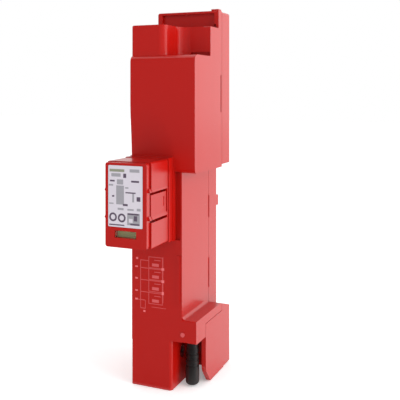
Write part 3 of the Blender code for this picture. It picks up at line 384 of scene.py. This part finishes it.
def diagramAndHighlightMask(start, s):
    x, y, z = printPlace(start, "XYZ")
    masks = []
    for group in (s["lines"], s["marks"]):
        masks += [boxMask(x, z, box) * group["share"] for box in group["boxes"]]
    symbols = s["symbols"]
    for height in symbols["heights"]:
        outer = boxMask(x, z, raised(symbols["frame"]["outer"], height))
        inner = boxMask(x, z, raised(symbols["frame"]["inner"], height))
        masks.append((outer - inner) * symbols["frame"]["share"])
        for fill in symbols["fills"]:
            masks.append(boxMask(x, z, raised(fill["box"], height)) * fill["share"])
    # Painted highlight on the small dome
    highlight = s["domeHighlight"]
    masks.append(discMask(x, z, highlight["centre"], highlight["radius"]) * highlight["share"])
    onFront = y < s["frontLimit"]
    return strongest(masks) * onFront


redSettings = {
    "colour": (0.42, 0.004, 0.0015, 1),
    # The print colour, also used for the painted highlight on the small dome
    "printAndHighlightColour": (0.78, 0.17, 0.18, 1),
    "roughness": 0.26,
    "spread": 0.05,
    "grain": 900.0,
    "detail": 3.0,
    "bump": 0.04,
    "bumpHeight": 0.0001,
    "ior": 1.62,
}


def redMaterial(name, s, diagramAndHighlight=None):
    material, shader, start = newMaterial(name, s["colour"], s["roughness"], {"IOR": s["ior"]})
    grain = roughGrain(shader, start, s)
    wanted = {"Strength": s["bump"], "Distance": s["bumpHeight"], "Height": grain}
    start.node("ShaderNodeBump", inputs=wanted).feed(shader, "Normal")
    if diagramAndHighlight:
        # The print and the painted highlight on the small dome are mixed into the red
        ink = diagramAndHighlightMask(start, diagramAndHighlight)
        ink.mix(s["colour"], s["printAndHighlightColour"]).feed(shader, "Base Color")
    return material


# Later bars lie over earlier ones
labelSettings = {
    "paper": (0.58, 0.54, 0.60, 1),
    "ink": (0.10, 0.07, 0.11, 1),
    "grey": (0.30, 0.29, 0.32, 1),
    "green": (0.24, 0.25, 0.18, 1),
    "roughness": 0.42,
    "bars": [
        (3.4, 112.3, 11.4, 113.6, "green"),
        (14.2, 112.3, 19.4, 113.8, "grey"),
        (4.4, 110.0, 9.4, 111.6, "grey"),
        (10.8, 109.6, 12.4, 111.6, "ink"),
        (3.6, 107.6, 6.2, 108.4, "ink"),
        (7.4, 106.4, 10.8, 108.8, "grey"),
        (15.0, 107.6, 19.2, 108.5, "ink"),
        (3.0, 105.6, 5.4, 106.4, "grey"),
        (7.0, 97.0, 11.2, 105.9, "grey"),
        (11.8, 104.6, 13.6, 105.3, "grey"),
        (12.0, 102.4, 17.4, 103.0, "ink"),
        (15.6, 98.4, 16.6, 102.4, "grey"),
        (4.8, 100.4, 6.0, 101.2, "ink"),
        (3.2, 97.0, 5.6, 97.6, "grey"),
        (10.6, 96.4, 13.2, 97.4, "ink"),
        (7.8, 94.4, 11.0, 95.4, "grey"),
        (13.0, 94.4, 16.4, 95.2, "grey"),
        (18.0, 94.4, 20.0, 95.6, "grey"),
        (12.9, 87.6, 19.6, 93.2, "grey"),
        (13.8, 88.8, 15.8, 90.6, "paper"),
        (16.4, 89.6, 18.2, 92.0, "ink"),
        (13.2, 92.4, 19.0, 93.2, "ink"),
        (14.6, 87.6, 19.4, 88.4, "ink"),
        (3.2, 87.0, 11.4, 87.6, "ink"),
        (17.9, 98.9, 19.9, 101.0, "ink"),
    ],
    "rings": {"centres": [(5.3, 90.9), (10.0, 90.7)], "outer": 2.1, "inner": 1.2},
}


def labelMaterial(name, s):
    material, shader, start = newMaterial(name, s["paper"], s["roughness"])
    x, z = printPlace(start, "XZ")
    colour = s["paper"]
    for left, low, right, high, ink in s["bars"]:
        colour = boxMask(x, z, (left, low, right, high)).mix(colour, s[ink])
    rings = s["rings"]
    for centre in rings["centres"]:
        outer = discMask(x, z, centre, rings["outer"])
        inner = discMask(x, z, centre, rings["inner"])
        colour = (outer - inner).mix(colour, s["ink"])
    colour.feed(shader, "Base Color")
    return material


# The window shows the lower half at rest and the upper half once the flag has dropped
flagSettings = {
    "lower": (0.44, 0.43, 0.17, 1),
    "upper": (0.80, 0.02, 0.012, 1),
    "border": 0.52,
    "roughness": 0.5,
}


def flagMaterial(name, s, flag):
    heights = [millimetres * vertex.co.z for vertex in flag.data.vertices]
    border = min(heights) + s["border"] * (max(heights) - min(heights))
    material, shader, start = newMaterial(name, s["lower"], s["roughness"])
    [height] = printPlace(start, "Z")
    (height > border).mix(s["lower"], s["upper"]).feed(shader, "Base Color")
    return material


metalSettings = {
    "copper": (0.72, 0.52, 0.36, 1),
    "steel": (0.58, 0.59, 0.61, 1),
    "roughness": 0.32,
    "spread": 0.12,
    "grain": 420.0,
    "detail": 4.0,
}


def metalMaterial(name, colour, s):
    material, shader, start = newMaterial(name, colour, s["roughness"], {"Metallic": 1.0})
    roughGrain(shader, start, s)
    return material


plugSettings = {"colour": (0.012, 0.010, 0.010, 1), "roughness": 0.45}
windowSettings = {"colour": (0.30, 0.30, 0.22, 1), "roughness": 0.25, "alpha": 0.12}
ceramicSettings = {"colour": (0.80, 0.77, 0.70, 1), "roughness": 0.4}
boardSettings = {"colour": (0.02, 0.15, 0.06, 1), "roughness": 0.4}
varistorSettings = {"colour": (0.04, 0.10, 0.32, 1), "roughness": 0.4}


def plainMaterial(name, s):
    return newMaterial(name, s["colour"], s["roughness"], {"Alpha": s.get("alpha", 1.0)})[0]


slotMaterials = {
    "red_plastic": redMaterial("redPlastic", redSettings),
    "dark_plastic": plainMaterial("darkPlastic", plugSettings),
    "white_label": labelMaterial("labelFilm", labelSettings),
    "green_window": plainMaterial("tintedWindow", windowSettings),
    "tinned_copper": metalMaterial("tinnedCopper", metalSettings["copper"], metalSettings),
    "zinc_steel": metalMaterial("zincSteel", metalSettings["steel"], metalSettings),
    "ceramic": plainMaterial("glazedCeramic", ceramicSettings),
    "circuit_board": plainMaterial("circuitBoard", boardSettings),
    "varistor_coating": plainMaterial("dippedCoating", varistorSettings),
}
ownMaterials = {
    # The front housing's red carries the print and a painted highlight on its small dome
    "front_housing": redMaterial("printedRedPlasticWithHighlight", redSettings, diagramAndHighlightSettings),
    "status_flag": flagMaterial("flagPaint", flagSettings, frame["nodes"]["status_flag"]),
}
print("materials made")

slots = {row["node"]: row["material_slot"] for row in frame["record"]["subparts"]}
bodyOf = {}
for body, names in frame["record"]["behaviour"]["bodies"].items():
    for name in names:
        bodyOf[name] = body
for name, node in frame["nodes"].items():
    material = ownMaterials.get(name, slotMaterials[slots[name]])
    for slot in node.material_slots:
        slot.material = material
print("materials set on", len(frame["nodes"]), "nodes")

mergeDistance = 0.000001


def mergedCopy(source, name):
    piece = bpy.data.objects.new(name, source.data.copy())
    bpy.context.scene.collection.objects.link(piece)
    deselect()
    piece.select_set(True)
    bpy.context.view_layer.objects.active = piece
    bpy.ops.object.mode_set(mode="EDIT")
    bpy.ops.mesh.select_all(action="SELECT")
    bpy.ops.mesh.remove_doubles(threshold=mergeDistance)
    bpy.ops.object.mode_set(mode="OBJECT")
    return piece


# Edges are rounded, apart from the parting line of the two housings, which stays a fine slit
edgeSettings = {
    "flat": 0.4,  # faces that meet below this angle become one
    "angle": 38.0,  # edges above this angle are rounded
    "steps": 3,
    "smooth": 34.0,  # edges below this angle are shaded smooth
    "seamNode": "front_housing",
    "seamReach": 0.0006,  # edges this near to the node's back end belong to the parting line
    "widths": {
        "front_housing": 0.00035,
        "rear_housing": 0.00035,
        "module_case": 0.0003,
        "module_cover": 0.00015,
        "release_key_right": 0.0002,
        "release_key_left": 0.0002,
        "latch_slider": 0.0002,
        "status_window": 0.0002,
        "earth_terminal": 0.0002,
        "terminal_screw": 0.00015,
    },
}


def weighEdges(mesh, seam, s):
    work = bmesh.new()
    work.from_mesh(mesh)
    weight = work.edges.layers.float.new("bevel_weight_edge")
    for edge in work.edges:
        onSeam = all(abs(corner.co.y - seam) < s["seamReach"] for corner in edge.verts)
        if not onSeam and edge.calc_face_angle(0.0) > math.radians(s["angle"]):
            edge[weight] = 1.0
    work.to_mesh(mesh)
    work.free()


def roundedCopy(source, name, width, seam, s):
    piece = mergedCopy(source, name)
    bpy.ops.object.mode_set(mode="EDIT")
    bpy.ops.mesh.dissolve_limited(angle_limit=math.radians(s["flat"]))
    bpy.ops.object.mode_set(mode="OBJECT")
    weighEdges(piece.data, seam, s)
    bevel = piece.modifiers.new("edges", "BEVEL")
    bevel.width = width
    bevel.segments = s["steps"]
    bevel.limit_method = "WEIGHT"
    bpy.ops.object.modifier_apply(modifier=bevel.name)
    bpy.ops.object.shade_smooth_by_angle(angle=math.radians(s["smooth"]))
    normals = piece.modifiers.new("normals", "WEIGHTED_NORMAL")
    normals.keep_sharp = True
    bpy.ops.object.modifier_apply(modifier=normals.name)
    return piece


seam = max(corner.co.y for corner in frame["nodes"][edgeSettings["seamNode"]].data.vertices)
for name, width in edgeSettings["widths"].items():
    node = frame["nodes"][name]
    piece = roundedCopy(node, name + ".rounded", width, seam, edgeSettings)
    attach(piece, bodyOf[name])
    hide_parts(name)
    print("edges rounded:", name, len(piece.data.polygons), "faces")

# The spring is a merged copy, shaded smooth, that rides with its body as one piece
springSettings = {
    "node": "latch_spring",
    "joint": "latch_release",
    "fixedEnd": 0.0083,  # height of the lower end
    "travel": 0.005,  # how far the slider comes down and shortens it
    "smooth": 60.0,
}
name = springSettings["node"]
coil = mergedCopy(frame["nodes"][name], name + ".coil")
bpy.ops.object.shade_smooth_by_angle(angle=math.radians(springSettings["smooth"]))
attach(coil, bodyOf[name])
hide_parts(name)
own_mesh(coil)
